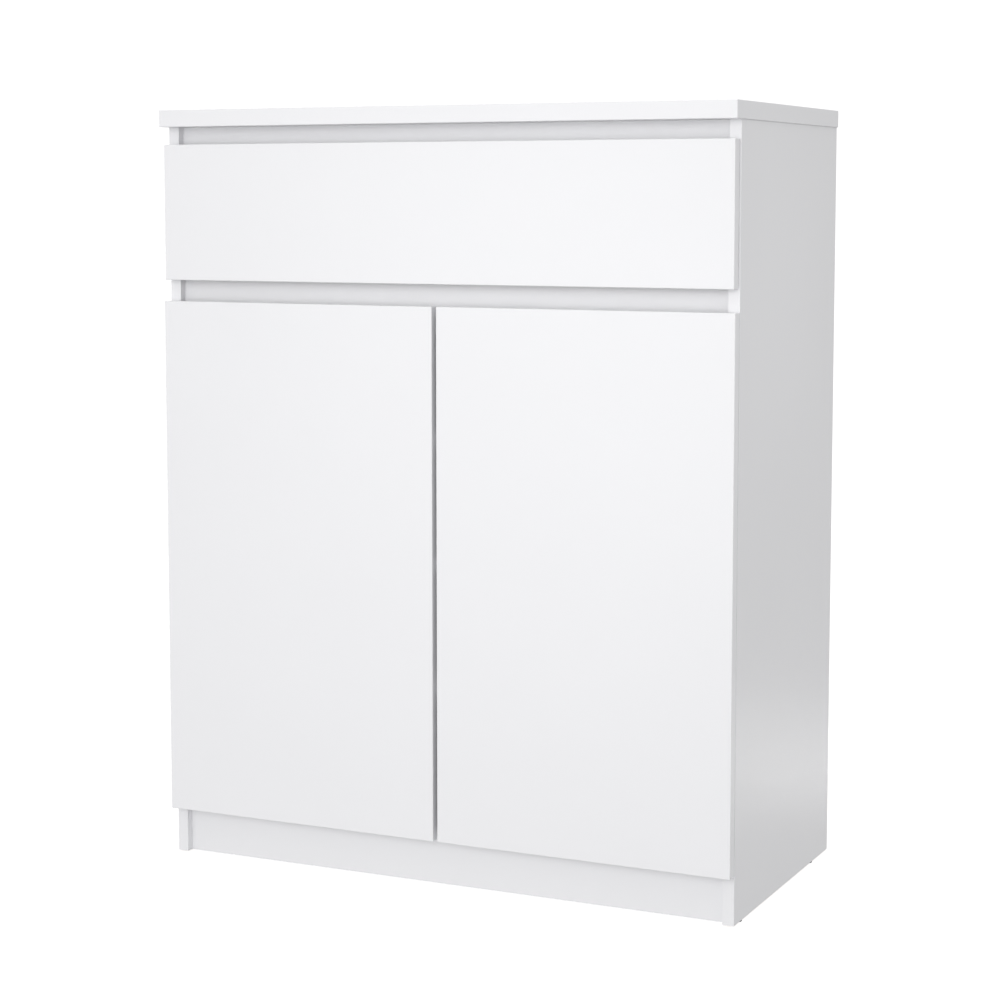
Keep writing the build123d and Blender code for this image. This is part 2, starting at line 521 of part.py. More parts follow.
def roller(s, y, z):
    # tyre with a shallow groove each side of the hub
    rod_x(s * ROLL_X0, s * (ROLL_X0 + ROLL_W), [(y, z)], ROLL_R)
    for xa, xb in ((ROLL_X0, ROLL_X0 + 0.8), (ROLL_X0 + ROLL_W - 0.8, ROLL_X0 + ROLL_W)):
        with BuildSketch(Plane(origin=(s * xa, 0, 0), x_dir=(0, 1, 0), z_dir=(1, 0, 0))) as ring:
            with Locations((y, z)):
                Circle(7.4)
                Circle(4.6, mode=CUT)
        extrude(ring.sketch, amount=s * (xb - xa), mode=CUT)
    rod_x(s * ROLL_X0, s * (ROLL_X0 + ROLL_W), [(y, z)], AXLE_HOLE_R, CUT)


with BuildPart() as cabinet_rollers:
    roller(-1, CAB_ROLL_Y, CAB_ROLL_Z)
    roller(1, CAB_ROLL_Y, CAB_ROLL_Z)
keep(cabinet_rollers, "cabinet_rollers")

with BuildPart() as drawer_rollers:
    roller(-1, DRW_ROLL_Y, DRW_ROLL_Z)
    roller(1, DRW_ROLL_Y, DRW_ROLL_Z)
keep(drawer_rollers, "drawer_rollers")

with BuildPart() as cabinet_roller_axles:
    for s in (-1, 1):
        rod_x(s * X_IN, s * (ROLL_X0 - 0.3), [(CAB_ROLL_Y, CAB_ROLL_Z)], AXLE_R)
        rod_x(s * (X_IN - RAIL_S), s * (ROLL_X0 + ROLL_W + 0.4), [(CAB_ROLL_Y, CAB_ROLL_Z)], 4.0)
        rod_x(s * (ROLL_X0 - 0.3), s * (ROLL_X0 - 1.1), [(CAB_ROLL_Y, CAB_ROLL_Z)], 3.6)
keep(cabinet_roller_axles, "cabinet_roller_axles")

with BuildPart() as drawer_roller_axles:
    for s in (-1, 1):
        rod_x(s * DR_X, s * (ROLL_X0 + ROLL_W + 0.3), [(DRW_ROLL_Y, DRW_ROLL_Z)], AXLE_R)
        rod_x(s * (DR_X + RAIL_S), s * (ROLL_X0 - 0.4), [(DRW_ROLL_Y, DRW_ROLL_Z)], 4.0)
        rod_x(s * (ROLL_X0 + ROLL_W + 0.3), s * (ROLL_X0 + ROLL_W + 1.1), [(DRW_ROLL_Y, DRW_ROLL_Z)], 3.6)
keep(drawer_roller_axles, "drawer_roller_axles")


def pan_screw_x(x_face, s, pts, head_r, head_h, shank_r, shank_l):
    # head on the inner side of x_face, shank towards s
    rod_x(x_face, x_face - s * head_h, pts, head_r)
    rod_x(x_face, x_face + s * shank_l, pts, shank_r)
    with BuildSketch(Plane(origin=(x_face - s * head_h, 0, 0), x_dir=(0, 1, 0), z_dir=(1, 0, 0))) as cross:
        with Locations(*pts):
            Rectangle(head_r, head_r * 0.26)
            Rectangle(head_r * 0.26, head_r)
    extrude(cross.sketch, amount=s * head_h * 0.6, mode=CUT)


with BuildPart() as cabinet_rail_screws:
    for s in (-1, 1):
        pan_screw_x(s * (X_IN - RAIL_S), s, [(y, RUN_Z) for y in RUN_SCREW_Y], 3.2, 1.5, 1.45, RAIL_S + 10.0)
keep(cabinet_rail_screws, "cabinet_rail_screws")

with BuildPart() as drawer_rail_screws:
    for s in (-1, 1):
        pan_screw_x(s * (DR_X + RAIL_S), -s, [(y, RAIL_SCREW_Z) for y in RAIL_SCREW_Y], 3.0, 1.3, 1.45, RAIL_S + 9.0)
keep(drawer_rail_screws, "drawer_rail_screws")

# ================================================================ doors and concealed cup hinges
# Hinge plan, seen from above: measured from the outer back corner of the shut door, x outward, y to the back.
DOOR_IN, DOOR_OUT = DOOR_GAP / 2, SIDE_X
CUP_X, CUP_R, CUP_BORE_R, CUP_IN_R = -21.5, 17.4, 17.5, 16.2
CUP_DEEP, CUP_BORE, CUP_IN_DEEP = 12.6, 12.8, 12.0
FLANGE_T = 0.8
ARM_PIN_1 = (-21.0345, -0.7364)               # arm end of the outer link
ARM_PIN_2 = (-31.993, -7.329)                 # arm end of the inner link
CUP_PIN_1 = (-8.8047, -3.4226)                # cup end of the outer link
CUP_PIN_2 = (-14.0045, -3.4397)               # cup end of the inner link
OUTER_KNEE = (-15.17, -9.79)                  # bend of the outer link, clears the rim of the cup
INNER_LEN, INNER_ANG = 18.0979, 3.294         # inner link length and its angle with the door shut
PIVOT_R, PIVOT_HOLE_R = 1.25, 1.30
ARM_PIN_2_R, INNER_EYE_HOLE = 1.0, 2.3        # the inner link's arm eye has play
LINK_HALF = 1.5
LAYER_1, LAYER_2, LAYER_3 = 3.0, (3.5, 5.2), (5.7, 7.2)   # outer link, inner link plates, arm cheeks
CUP_SCREW_X, CUP_SCREW_DZ = -27.0, 22.5
PLATE_Y = 38.2
INNER_END = (CUP_PIN_2[0] + INNER_LEN * math.cos(INNER_ANG), CUP_PIN_2[1] + INNER_LEN * math.sin(INNER_ANG))


def at(s, x, y):
    return (s * (SIDE_X + x), Y_DOOR_B + y)


def strap(s, pts, half):
    for (xa, ya), (xb, yb) in zip(pts, pts[1:]):
        run = math.hypot(xb - xa, yb - ya)
        nx, ny = -(yb - ya) / run * half, (xb - xa) / run * half
        ring = [at(s, xa + nx, ya + ny), at(s, xb + nx, yb + ny), at(s, xb - nx, yb - ny), at(s, xa - nx, ya - ny)]
        Polygon(*(ring if s < 0 else ring[::-1]), align=None)
    with Locations(*[at(s, x, y) for x, y in pts]):
        Circle(half)


def slab(profile, z0, z1, mode=Mode.ADD):
    extrude(profile.sketch, amount=z1 - z0, mode=mode)


def door(s):
    lo, hi = sorted((s * DOOR_IN, s * DOOR_OUT))
    board(lo, hi, Y_FRONT, Y_DOOR_B, DOOR_Z0, DOOR_Z1)


def door_bores(s):
    cx = s * (SIDE_X + CUP_X)
    rod_y(Y_DOOR_B, Y_DOOR_B - CUP_BORE, [(cx, hz) for hz in HINGE_Z], CUP_BORE_R, CUT)
    rod_y(Y_DOOR_B, Y_DOOR_B - 10.0, [(s * (SIDE_X + CUP_SCREW_X), hz + k * CUP_SCREW_DZ) for hz in HINGE_Z for k in (-1, 1)], 1.75, CUT)


with BuildPart() as left_door:
    door(-1)
    soften(left_door.part, BOARD_R)
    door_bores(-1)
keep(left_door, "left_door")

with BuildPart() as right_door:
    door(1)
    soften(right_door.part, BOARD_R)
    door_bores(1)
keep(right_door, "right_door")


def hinge_cups(s):
    cx = s * (SIDE_X + CUP_X)
    for hz in HINGE_Z:
        rod_y(Y_DOOR_B, Y_DOOR_B - CUP_DEEP, [(cx, hz)], CUP_R)
        with BuildSketch(Plane(origin=(0, Y_DOOR_B + FLANGE_T, 0), x_dir=(1, 0, 0), z_dir=(0, -1, 0))) as flange:
            with Locations((cx, hz)):
                Circle(19.0)
            with Locations((s * (SIDE_X + CUP_SCREW_X), hz)):
                RectangleRounded(14.0, 56.0, 4.0)
            with Locations((s * (SIDE_X - 4.0), hz)):
                Rectangle(12.0, 60.0, mode=CUT)
        extrude(flange.sketch, amount=FLANGE_T)
        rod_y(Y_DOOR_B + FLANGE_T, Y_DOOR_B - CUP_IN_DEEP, [(cx, hz)], CUP_IN_R, CUT)
        rod_y(Y_DOOR_B + FLANGE_T, Y_DOOR_B, [(s * (SIDE_X + CUP_SCREW_X), hz + k * CUP_SCREW_DZ) for k in (-1, 1)], 1.75, CUT)
        rod_z(hz - 10.4, hz + 10.4, [at(s, *CUP_PIN_1)], PIVOT_R, CUT)
        rod_z(hz - 15.0, hz + 15.0, [at(s, *CUP_PIN_2)], PIVOT_R, CUT)


with BuildPart() as left_hinge_cups:
    hinge_cups(-1)
keep(left_hinge_cups, "left_hinge_cups")

with BuildPart() as right_hinge_cups:
    hinge_cups(1)
keep(right_hinge_cups, "right_hinge_cups")


def cup_pins(s):
    for hz in HINGE_Z:
        rod_z(hz - 10.4, hz + 10.4, [at(s, *CUP_PIN_1)], PIVOT_R)
        rod_z(hz + 3.4, hz + 15.0, [at(s, *CUP_PIN_2)], PIVOT_R)
        rod_z(hz - 15.0, hz - 3.4, [at(s, *CUP_PIN_2)], PIVOT_R)


with BuildPart() as left_hinge_cup_pins:
    cup_pins(-1)
keep(left_hinge_cup_pins, "left_hinge_cup_pins")

with BuildPart() as right_hinge_cup_pins:
    cup_pins(1)
keep(right_hinge_cup_pins, "right_hinge_cup_pins")


def cup_screws(s):
    pts = [(s * (SIDE_X + CUP_SCREW_X), hz + k * CUP_SCREW_DZ) for hz in HINGE_Z for k in (-1, 1)]
    rod_y(Y_DOOR_B + FLANGE_T + 1.4, Y_DOOR_B + FLANGE_T, pts, 3.2)
    rod_y(Y_DOOR_B + FLANGE_T, Y_DOOR_B - 9.5, pts, 1.7)
    with BuildSketch(Plane(origin=(0, Y_DOOR_B + FLANGE_T + 1.4, 0), x_dir=(1, 0, 0), z_dir=(0, -1, 0))) as cross:
        with Locations(*pts):
            Rectangle(3.4, 0.85)
            Rectangle(0.85, 3.4)
    extrude(cross.sketch, amount=1.0, mode=CUT)


with BuildPart() as left_hinge_cup_screws:
    cup_screws(-1)
keep(left_hinge_cup_screws, "left_hinge_cup_screws")

with BuildPart() as right_hinge_cup_screws:
    cup_screws(1)
keep(right_hinge_cup_screws, "right_hinge_cup_screws")


def outer_links(s):
    for hz in HINGE_Z:
        with BuildSketch(Plane.XY.offset(hz - LAYER_1)) as plan:
            strap(s, (ARM_PIN_1, OUTER_KNEE, CUP_PIN_1), LINK_HALF)
            with Locations(at(s, *ARM_PIN_1)):
                Circle(2.6)
            with Locations(at(s, *CUP_PIN_1)):
                Circle(2.4)
            with Locations(at(s, *ARM_PIN_1), at(s, *CUP_PIN_1)):
                Circle(PIVOT_HOLE_R, mode=CUT)
        slab(plan, 0, 2 * LAYER_1)


with BuildPart() as left_hinge_outer_links:
    outer_links(-1)
keep(left_hinge_outer_links, "left_hinge_outer_links")

with BuildPart() as right_hinge_outer_links:
    outer_links(1)
keep(right_hinge_outer_links, "right_hinge_outer_links")


def inner_links(s):
    for hz in HINGE_Z:
        for z0 in (hz + LAYER_2[0], hz - LAYER_2[1]):
            with BuildSketch(Plane.XY.offset(z0)) as plan:
                strap(s, (CUP_PIN_2, INNER_END), LINK_HALF)
                with Locations(at(s, *CUP_PIN_2)):
                    Circle(2.4)
                with Locations(at(s, *INNER_END)):
                    Circle(3.3)
                with Locations(at(s, *CUP_PIN_2)):
                    Circle(PIVOT_HOLE_R, mode=CUT)
                with Locations(at(s, *INNER_END)):
                    Circle(INNER_EYE_HOLE, mode=CUT)
            slab(plan, 0, LAYER_2[1] - LAYER_2[0])


with BuildPart() as left_hinge_inner_links:
    inner_links(-1)
keep(left_hinge_inner_links, "left_hinge_inner_links")

with BuildPart() as right_hinge_inner_links:
    inner_links(1)
keep(right_hinge_inner_links, "right_hinge_inner_links")

ARM_X0, ARM_X1, ARM_WEB = -33.6, -18.4, 1.5   # arm channel: outer face of its web, open edge, sheet
ARM_Y1 = 60.0
ARM_SCREW_Y = 41.0
CHEEK = ((-18.4, 3.0), (-18.4, ARM_Y1), (ARM_X0, ARM_Y1), (ARM_X0, 4.0), (-34.45, -6.5), (-31.9, -9.9), (-30.6, -9.5), (-19.4, -3.0))

with BuildPart() as hinge_arms:
    for s in (-1, 1):
        for hz in HINGE_Z:
            for z0 in (hz + LAYER_3[0], hz - LAYER_3[1]):
                with BuildSketch(Plane.XY.offset(z0)) as cheek:
                    ring = [at(s, x, y) for x, y in CHEEK]
                    Polygon(*(ring if s < 0 else ring[::-1]), align=None)
                    with Locations(at(s, *ARM_PIN_1)):
                        Circle(2.8)
                    with Locations(at(s, *ARM_PIN_2)):
                        Circle(2.5)
                    with Locations(at(s, *ARM_PIN_1)):
                        Circle(PIVOT_R, mode=CUT)
                    with Locations(at(s, *ARM_PIN_2)):
                        Circle(ARM_PIN_2_R, mode=CUT)
                extrude(cheek.sketch, amount=LAYER_3[1] - LAYER_3[0])
            lo, hi = sorted((s * (SIDE_X + ARM_X0), s * (SIDE_X + ARM_X0 + ARM_WEB)))
            board(lo, hi, Y_DOOR_B + 12.0, Y_DOOR_B + ARM_Y1, hz - LAYER_3[1], hz + LAYER_3[1])
            rod_x(s * (SIDE_X + ARM_X0), s * (SIDE_X + ARM_X0 + ARM_WEB), [(Y_DOOR_B + ARM_SCREW_Y, hz)], 2.0, CUT)
keep(hinge_arms, "hinge_arms")

with BuildPart() as hinge_arm_pins:
    for s in (-1, 1):
        for hz in HINGE_Z:
            rod_z(hz - LAYER_3[1], hz + LAYER_3[1], [at(s, *ARM_PIN_1)], PIVOT_R)
            rod_z(hz - LAYER_3[1], hz + LAYER_3[1], [at(s, *ARM_PIN_2)], ARM_PIN_2_R)
keep(hinge_arm_pins, "hinge_arm_pins")

with BuildPart() as hinge_plates:
    for s in (-1, 1):
        for hz in HINGE_Z:
            lo, hi = sorted((s * X_IN, s * (X_IN - 2.4)))
            board(lo, hi, Y_DOOR_B + 18.0, Y_DOOR_B + 58.0, hz - 9.0, hz + 9.0)
            board(lo, hi, Y_DOOR_B + PLATE_Y - 7.0, Y_DOOR_B + PLATE_Y + 7.0, hz - 24.0, hz + 24.0)
            lo, hi = sorted((s * (X_IN - 2.4), s * (SIDE_X + ARM_X0 + ARM_WEB)))
            board(lo, hi, Y_DOOR_B + 22.0, Y_DOOR_B + 56.0, hz - 5.3, hz + 5.3)
            rod_x(s * X_IN, s * (X_IN - 2.4), [(Y_DOOR_B + PLATE_Y, hz + k * PLATE_SCREW_DZ) for k in (-1, 1)], 2.5, CUT)
            rod_x(s * (X_IN - 3.0), s * (SIDE_X + ARM_X0 + ARM_WEB), [(Y_DOOR_B + ARM_SCREW_Y, hz)], 2.0, CUT)
keep(hinge_plates, "hinge_plates")

with BuildPart() as hinge_plate_screws:
    for s in (-1, 1):
        pan_screw_x(s * (X_IN - 2.4), s, [(Y_DOOR_B + PLATE_Y, hz + k * PLATE_SCREW_DZ) for hz in HINGE_Z for k in (-1, 1)], 4.2, 1.8, 2.45, 12.4)
keep(hinge_plate_screws, "hinge_plate_screws")

with BuildPart() as hinge_arm_screws:
    for s in (-1, 1):
        pan_screw_x(s * (SIDE_X + ARM_X0), s, [(Y_DOOR_B + ARM_SCREW_Y, hz) for hz in HINGE_Z], 3.4, 1.8, 1.9, 14.0)
keep(hinge_arm_screws, "hinge_arm_screws")


def door_bumpers(s):
    rod_y(Y_DOOR_B + 0.8, Y_DOOR_B, [(s * x, BASE_Z0 + 8.5) for x in (22.0, 210.0)], 3.5)


with BuildPart() as left_door_bumpers:
    door_bumpers(-1)
    fillet(left_door_bumpers.edges().group_by(Axis.Y)[-1], radius=0.3)
keep(left_door_bumpers, "left_door_bumpers")

with BuildPart() as right_door_bumpers:
    door_bumpers(1)
    fillet(right_door_bumpers.edges().group_by(Axis.Y)[-1], radius=0.3)
keep(right_door_bumpers, "right_door_bumpers")
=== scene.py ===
"""White sideboard with a full-width drawer over a two-door cupboard: finishes, light and camera."""

import json
import math

import bpy
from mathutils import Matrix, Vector


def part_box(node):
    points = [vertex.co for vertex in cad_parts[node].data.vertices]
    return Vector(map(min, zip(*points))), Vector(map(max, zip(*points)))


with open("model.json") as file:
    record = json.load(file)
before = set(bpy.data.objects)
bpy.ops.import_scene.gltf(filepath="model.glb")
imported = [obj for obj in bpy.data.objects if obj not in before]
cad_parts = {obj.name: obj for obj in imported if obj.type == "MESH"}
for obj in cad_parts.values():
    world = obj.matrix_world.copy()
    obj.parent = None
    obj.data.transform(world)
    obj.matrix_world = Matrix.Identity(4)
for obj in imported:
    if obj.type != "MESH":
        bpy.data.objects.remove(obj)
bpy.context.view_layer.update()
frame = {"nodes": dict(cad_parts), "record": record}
NODES = frame["nodes"]
scene = bpy.context.scene

# ---------------------------------------------------------------- node helpers


def make(name):
    """A new material with one Principled shader: (material, node tree, shader)."""
    m = bpy.data.materials.new(name)
    m.use_nodes = True
    nt = m.node_tree
    nt.nodes.clear()
    out = nt.nodes.new("ShaderNodeOutputMaterial")
    shader = nt.nodes.new("ShaderNodeBsdfPrincipled")
    nt.links.new(shader.outputs["BSDF"], out.inputs["Surface"])
    return m, nt, shader


def put(nt, socket, value):
    if isinstance(value, bpy.types.NodeSocket):
        nt.links.new(value, socket)
    elif isinstance(value, (tuple, list)) and len(value) == 3 and socket.type == "RGBA":
        socket.default_value = (*value, 1.0)
    else:
        socket.default_value = value


def calc(nt, op, a, b=0.0, clamp=False):
    n = nt.nodes.new("ShaderNodeMath")
    n.operation = op
    n.use_clamp = clamp
    put(nt, n.inputs[0], a)
    put(nt, n.inputs[1], b)
    return n.outputs[0]


def lowest(nt, values):
    r = values[0]
    for v in values[1:]:
        r = calc(nt, "MINIMUM", r, v)
    return r


def span(nt, value, a, b, lo=0.0, hi=1.0, smooth=False):
    n = nt.nodes.new("ShaderNodeMapRange")
    n.interpolation_type = "SMOOTHSTEP" if smooth else "LINEAR"
    put(nt, n.inputs["Value"], value)
    for k, v in (("From Min", a), ("From Max", b), ("To Min", lo), ("To Max", hi)):
        put(nt, n.inputs[k], v)
    return n.outputs["Result"]


def blend(nt, fac, a, b):
    n = nt.nodes.new("ShaderNodeMix")
    n.data_type = "RGBA"
    put(nt, n.inputs[0], fac)
    put(nt, n.inputs[6], a)
    put(nt, n.inputs[7], b)
    return n.outputs[2]


def blend_number(nt, fac, a, b):
    n = nt.nodes.new("ShaderNodeMix")
    n.data_type = "FLOAT"
    put(nt, n.inputs[0], fac)
    put(nt, n.inputs[2], a)
    put(nt, n.inputs[3], b)
    return n.outputs[0]


def place(nt, scale=(1.0, 1.0, 1.0), turn=(0.0, 0.0, 0.0)):
    """The piece's own coordinates in metres, stretched."""
    tc = nt.nodes.new("ShaderNodeTexCoord")
    if scale == (1.0, 1.0, 1.0) and turn == (0.0, 0.0, 0.0):
        return tc.outputs["Object"]
    mp = nt.nodes.new("ShaderNodeMapping")
    nt.links.new(tc.outputs["Object"], mp.inputs["Vector"])
    mp.inputs["Scale"].default_value = scale
    mp.inputs["Rotation"].default_value = turn
    return mp.outputs["Vector"]


def axes(nt):
    n = nt.nodes.new("ShaderNodeSeparateXYZ")
    nt.links.new(place(nt), n.inputs[0])
    return n.outputs


def noise(nt, where, scale, detail=2.0, rough=0.5, warp=0.0):
    n = nt.nodes.new("ShaderNodeTexNoise")
    put(nt, n.inputs["Vector"], where)
    put(nt, n.inputs["Scale"], scale)
    put(nt, n.inputs["Detail"], detail)
    put(nt, n.inputs["Roughness"], rough)
    put(nt, n.inputs["Distortion"], warp)
    return n.outputs["Fac"]


def cells(nt, where, scale, feature="F1", out="Distance"):
    n = nt.nodes.new("ShaderNodeTexVoronoi")
    n.feature = feature
    put(nt, n.inputs["Vector"], where)
    put(nt, n.inputs["Scale"], scale)
    return n.outputs[out]


def ramp(nt, fac, stops):
    n = nt.nodes.new("ShaderNodeValToRGB")
    put(nt, n.inputs[0], fac)
    e = n.color_ramp.elements
    while len(e) < len(stops):
        e.new(0.5)
    for el, (pos, col) in zip(e, stops):
        el.position = pos
        el.color = (*col, 1.0)
    return n.outputs["Color"]


def bump(nt, height, strength, depth, under=None):
    n = nt.nodes.new("ShaderNodeBump")
    n.inputs["Strength"].default_value = strength
    n.inputs["Distance"].default_value = depth
    nt.links.new(height, n.inputs["Height"])
    if under is not None:
        nt.links.new(under, n.inputs["Normal"])
    return n.outputs["Normal"]


# ---------------------------------------------------------------- board finishes

WHITE = (0.865, 0.865, 0.882)
WHITE_2 = (0.857, 0.857, 0.874)


def chips(nt):
    """Pressed wood chips, as at a sawn edge or in a bore: (colour, height)."""
    where = place(nt)
    v = nt.nodes.new("ShaderNodeTexVoronoi")
    nt.links.new(where, v.inputs["Vector"])
    v.inputs["Scale"].default_value = 420.0
    grey = nt.nodes.new("ShaderNodeSeparateColor")
    nt.links.new(v.outputs["Color"], grey.inputs[0])
    fine = noise(nt, where, 1700.0, 3.0, 0.6)
    tone = calc(nt, "ADD", calc(nt, "MULTIPLY", grey.outputs[0], 0.62), calc(nt, "MULTIPLY", fine, 0.42))
    colour = ramp(nt, tone, [(0.08, (0.165, 0.095, 0.047)), (0.38, (0.42, 0.275, 0.150)),
                             (0.66, (0.58, 0.41, 0.245)), (0.95, (0.72, 0.56, 0.37))])
    return colour, tone


def edge_gap(nt, p, lo, hi, sides):
    """Distance to the nearest of the named edges, such as '-Y'."""
    found = []
    for s in sides:
        k = "XYZ".index(s[1])
        if s[0] == "-":
            found.append(calc(nt, "SUBTRACT", p[k], lo[k]))
        else:
            found.append(calc(nt, "SUBTRACT", hi[k], p[k]))
    return lowest(nt, found)


def white_skin(nt, rough, pearl):
    """Melamine surface: (colour, roughness, height of its fine pearl texture)."""
    where = place(nt)
    cloud = noise(nt, where, 5.0, 3.0, 0.55)
    colour = blend(nt, span(nt, cloud, 0.3, 0.7), WHITE, WHITE_2)
    fine = noise(nt, where, pearl, 3.0, 0.55)
    smear = noise(nt, where, 38.0, 4.0, 0.6)
    r = calc(nt, "ADD", span(nt, smear, 0.3, 0.7, rough - 0.02, rough + 0.02),
             span(nt, fine, 0.3, 0.7, -0.025, 0.025))
    return colour, r, fine


def board(node, thick, banded, rough=0.33, pearl=950.0):
    """White-faced board: banded edges are white, the other edges and all bores show the chips."""
    lo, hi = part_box(node)
    m, nt, shader = make("board." + node)
    p = axes(nt)
    k = "XYZ".index(thick)
    depth = lowest(nt, [calc(nt, "SUBTRACT", p[k], lo[k]), calc(nt, "SUBTRACT", hi[k], p[k])])
    white, white_rough, fine = white_skin(nt, rough, pearl)
    raw = calc(nt, "GREATER_THAN", depth, 0.00028)
    if banded:
        gap = edge_gap(nt, p, lo, hi, banded)
        raw = calc(nt, "MULTIPLY", raw, calc(nt, "GREATER_THAN", gap, 0.0013))
        # a hairline where the edge strip meets the face, and a slightly duller strip
        seam = calc(nt, "COMPARE", gap, 0.00095)
        seam.node.inputs[2].default_value = 0.00007
        white = blend(nt, calc(nt, "MULTIPLY", seam, 0.30), white, (0.62, 0.61, 0.60))
        white_rough = calc(nt, "ADD", white_rough, span(nt, gap, 0.0009, 0.0010, 0.03, 0.0))
    core, tone = chips(nt)
    put(nt, shader.inputs["Base Color"], blend(nt, raw, white, core))
    put(nt, shader.inputs["Roughness"], blend_number(nt, raw, white_rough, 0.88))
    height = blend_number(nt, raw, calc(nt, "MULTIPLY", fine, 0.10), tone)
    put(nt, shader.inputs["Normal"], bump(nt, height, 0.35, 0.00035))
    shader.inputs["IOR"].default_value = 1.5
    return m


def hardboard(node, thick, brown_side):
    """Thin hardboard, lacquered white on one face; the other face is brown with a fine screen mark."""
    lo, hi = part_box(node)
    m, nt, shader = make("hardboard." + node)
    p = axes(nt)
    k = "XYZ".index(thick)
    gap = calc(nt, "SUBTRACT", p[k], lo[k]) if brown_side == "+" else calc(nt, "SUBTRACT", hi[k], p[k])
    brown = calc(nt, "GREATER_THAN", gap, 0.0004)
    where = place(nt)
    white, white_rough, fine = white_skin(nt, 0.42, 700.0)
    fibre = noise(nt, where, 260.0, 6.0, 0.7, 0.6)
    cloud = noise(nt, where, 6.0, 3.0, 0.5)
    tone = calc(nt, "ADD", calc(nt, "MULTIPLY", fibre, 0.88), calc(nt, "MULTIPLY", cloud, 0.12))
    wood = ramp(nt, tone, [(0.30, (0.215, 0.122, 0.064)), (0.48, (0.360, 0.225, 0.128)), (0.70, (0.49, 0.33, 0.20))])
    # the press screen leaves a weave of small dents, about 1.6 mm apart
    u, v = [i for i in range(3) if i != k]
    wu = calc(nt, "SINE", calc(nt, "MULTIPLY", p[u], 3900.0))
    wv = calc(nt, "SINE", calc(nt, "MULTIPLY", p[v], 3900.0))
    screen = calc(nt, "MULTIPLY", wu, wv)
    put(nt, shader.inputs["Base Color"], blend(nt, brown, white, wood))
    put(nt, shader.inputs["Roughness"], blend_number(nt, brown, white_rough, 0.74))
    dents = calc(nt, "ADD", calc(nt, "MULTIPLY", screen, 0.5), calc(nt, "MULTIPLY", fibre, 0.9))
    height = blend_number(nt, brown, calc(nt, "MULTIPLY", fine, 0.10), dents)
    put(nt, shader.inputs["Normal"], bump(nt, height, 0.35, 0.0004))
    return m


# ---------------------------------------------------------------- hardware finishes


def plated(name, colour, rough, mottled, brushed=(1.0, 1.0, 1.0)):
    """Plated or die-cast metal with a little cloud in its colour and fine rub marks."""
    m, nt, shader = make(name)
    where = place(nt, brushed)
    cloud = noise(nt, where, 160.0, 4.0, 0.6)
    rub = noise(nt, where, 2600.0, 3.0, 0.65)
    dark = tuple(c * (1.0 - mottled) for c in colour)
    put(nt, shader.inputs["Base Color"], blend(nt, span(nt, cloud, 0.32, 0.68), colour, dark))
    shader.inputs["Metallic"].default_value = 1.0
    put(nt, shader.inputs["Roughness"], calc(nt, "ADD", span(nt, cloud, 0.3, 0.7, rough - 0.05, rough + 0.05),
                                             span(nt, rub, 0.3, 0.7, -0.05, 0.05)))
    put(nt, shader.inputs["Normal"], bump(nt, rub, 0.12, 0.00006))
    return m


def enamel(name, colour, rough):
    """Baked powder coat: a soft orange peel."""
    m, nt, shader = make(name)
    where = place(nt)
    peel = noise(nt, where, 420.0, 2.0, 0.45)
    cloud = noise(nt, where, 30.0, 3.0, 0.5)
    put(nt, shader.inputs["Base Color"], blend(nt, span(nt, cloud, 0.3, 0.7), colour, tuple(c * 0.97 for c in colour)))
    put(nt, shader.inputs["Roughness"], span(nt, peel, 0.3, 0.7, rough - 0.04, rough + 0.04))
    put(nt, shader.inputs["Normal"], bump(nt, peel, 0.25, 0.0003))
    shader.inputs["Coat Weight"].default_value = 0.15
    shader.inputs["Coat Roughness"].default_value = 0.2
    return m


def moulded(name, colour, rough, grain, soft=0.0):
    """Injection-moulded plastic with a fine spark grain."""
    m, nt, shader = make(name)
    where = place(nt)
    fine = noise(nt, where, grain, 4.0, 0.6)
    cloud = noise(nt, where, 60.0, 3.0, 0.5)
    put(nt, shader.inputs["Base Color"], blend(nt, span(nt, cloud, 0.3, 0.7), colour, tuple(c * 0.93 for c in colour)))
    put(nt, shader.inputs["Roughness"], span(nt, fine, 0.3, 0.7, rough - 0.06, rough + 0.06))
    put(nt, shader.inputs["Normal"], bump(nt, fine, 0.3, 0.0002))
    if soft:
        shader.inputs["Subsurface Weight"].default_value = soft
        shader.inputs["Subsurface Radius"].default_value = (0.004, 0.0035, 0.003)
        shader.inputs["Subsurface Scale"].default_value = 0.4
    return m


def beech_wood():
    m, nt, shader = make("beech")
    where = place(nt, (60.0, 900.0, 900.0))
    grain = noise(nt, where, 1.0, 5.0, 0.6, 0.4)
    fleck = cells(nt, place(nt, (260.0, 1500.0, 1500.0)), 1.0)
    tone = calc(nt, "ADD", calc(nt, "MULTIPLY", grain, 0.8), calc(nt, "MULTIPLY", fleck, 0.2))
    put(nt, shader.inputs["Base Color"], ramp(nt, tone, [(0.25, (0.42, 0.25, 0.125)), (0.5, (0.60, 0.40, 0.225)),
                                                         (0.8, (0.71, 0.51, 0.31))]))
    put(nt, shader.inputs["Roughness"], span(nt, grain, 0.2, 0.8, 0.5, 0.7))
    put(nt, shader.inputs["Normal"], bump(nt, grain, 0.4, 0.0002))
    return m


def clear_pad():
    m, nt, shader = make("clear_pad")
    fine = noise(nt, place(nt), 900.0, 2.0)
    put(nt, shader.inputs["Base Color"], blend(nt, span(nt, fine, 0.3, 0.7), (0.86, 0.87, 0.87), (0.80, 0.81, 0.81)))
    put(nt, shader.inputs["Roughness"], span(nt, fine, 0.3, 0.7, 0.30, 0.38))
    shader.inputs["Transmission Weight"].default_value = 0.55
    shader.inputs["IOR"].default_value = 1.48
    return m


